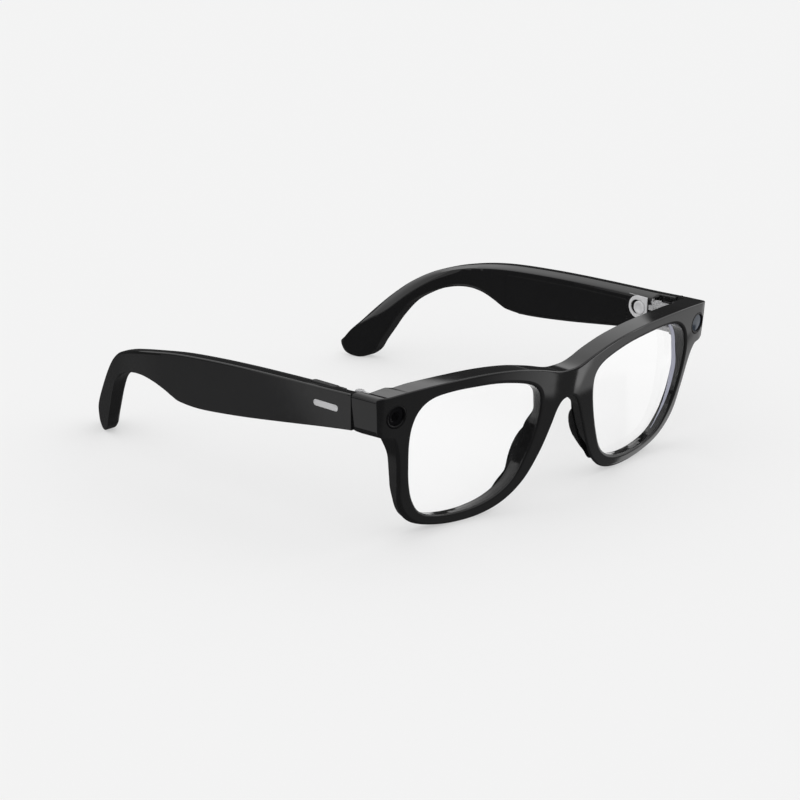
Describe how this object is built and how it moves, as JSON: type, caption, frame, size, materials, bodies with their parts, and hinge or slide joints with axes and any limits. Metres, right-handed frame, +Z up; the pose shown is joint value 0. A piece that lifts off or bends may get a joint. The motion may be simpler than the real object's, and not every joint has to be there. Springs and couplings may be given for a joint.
{
  "type": "smart glasses",
  "caption": "Smart glasses with a thick square black front, clear lenses, a camera and a light in the endpieces, and folding temples with a capture button and a power slider.",
  "frame": {"origin": "on the surface the glasses stand on, in the middle of their footprint", "axes": "+X to the wearer's left, +Y from the front to the temple tips, +Z up; the front faces -Y"},
  "size_m": [0.1548, 0.1572, 0.0471],
  "materials": {
    "gloss_black": "polished injection-moulded nylon",
    "satin_black": "fine satin moulded plastic",
    "ring_black": "deep gloss",
    "lens_clear": "clear, with a faint blue reflection",
    "camera_glass": "black cover glass",
    "light_glass": "smoky grey-blue window",
    "lens_coated": "coated lens element",
    "barrel_black": "anodised black",
    "hinge_steel": "fine brushed",
    "plate_silver": "bead-blasted satin",
    "inlay_silver": "polished",
    "contact_gold": "gold plated",
    "board_green": "solder resist over copper",
    "flex_amber": "polyimide film",
    "foil_silver": "laminated foil pouch",
    "speaker_black": "moulded housing",
    "mesh_black": "slotted mesh",
    "diffuser_white": "milky light pipe",
    "core_steel": "spring steel strip"
  },
  "bodies": {
    "front": {"front_frame": "gloss_black", "lens_right": "lens_clear", "lens_left": "lens_clear", "nose_pad_right": "satin_black", "nose_pad_left": "satin_black", "nose_microphone": "mesh_black", "rear_cover_right": "satin_black", "rear_cover_left": "satin_black", "camera_ring": "ring_black", "camera_cover_glass": "camera_glass", "camera_barrel": "barrel_black", "camera_lens_element": "lens_coated", "camera_board": "board_green", "light_ring": "ring_black", "light_window": "light_glass", "light_guide": "diffuser_white", "light_board": "board_green", "status_light": "diffuser_white", "contact_carrier": "ring_black", "charging_contacts": "contact_gold", "front_flex": "flex_amber", "hinge_front_leaf_right": "hinge_steel", "hinge_front_leaf_left": "hinge_steel", "hinge_pin_right": "hinge_steel", "hinge_pin_left": "hinge_steel", "hinge_screws_right": "hinge_steel", "hinge_screws_left": "hinge_steel"},
    "right_temple": {"temple_shell_right": "gloss_black", "temple_cover_right": "satin_black", "hinge_temple_leaf_right": "hinge_steel", "hinge_plate_right": "plate_silver", "temple_inlay_right": "inlay_silver", "speaker_right": "speaker_black", "speaker_grille_right": "mesh_black", "ear_core_right": "core_steel", "main_board": "board_green", "touch_film": "flex_amber", "temple_microphone_right": "contact_gold", "button_switch": "speaker_black"},
    "left_temple": {"temple_shell_left": "gloss_black", "temple_cover_left": "satin_black", "hinge_temple_leaf_left": "hinge_steel", "switch_plate_left": "plate_silver", "temple_inlay_left": "inlay_silver", "speaker_left": "speaker_black", "speaker_grille_left": "mesh_black", "ear_core_left": "core_steel", "temple_microphone_left": "contact_gold", "battery": "foil_silver", "wireless_board": "board_green", "antenna": "flex_amber", "slide_switch": "speaker_black"},
    "capture_button": {"capture_button": "satin_black"},
    "power_slider": {"power_slider": "plate_silver"}
  },
  "joints": [
    {"name": "right_temple_fold", "type": "hinge", "parent": "front", "child": "right_temple", "pos_m": [-0.0672, -0.05755, 0.041], "axis": [0, 0, -1], "range_deg": [0, 69]},
    {"name": "left_temple_fold", "type": "hinge", "parent": "front", "child": "left_temple", "pos_m": [0.0672, -0.05755, 0.041], "axis": [0, 0, 1], "range_deg": [0, 86]},
    {"name": "capture_button_press", "type": "slide", "parent": "right_temple", "child": "capture_button", "axis": [0, 0, -1], "range_m": [0, 0.0004], "stiffness_N_per_m": 1500, "springref_m": -0.0002},
    {"name": "power_slide", "type": "slide", "parent": "left_temple", "child": "power_slider", "axis": [0.0314, 0.9995, 0], "range_m": [0, 0.0014]}
  ]
}
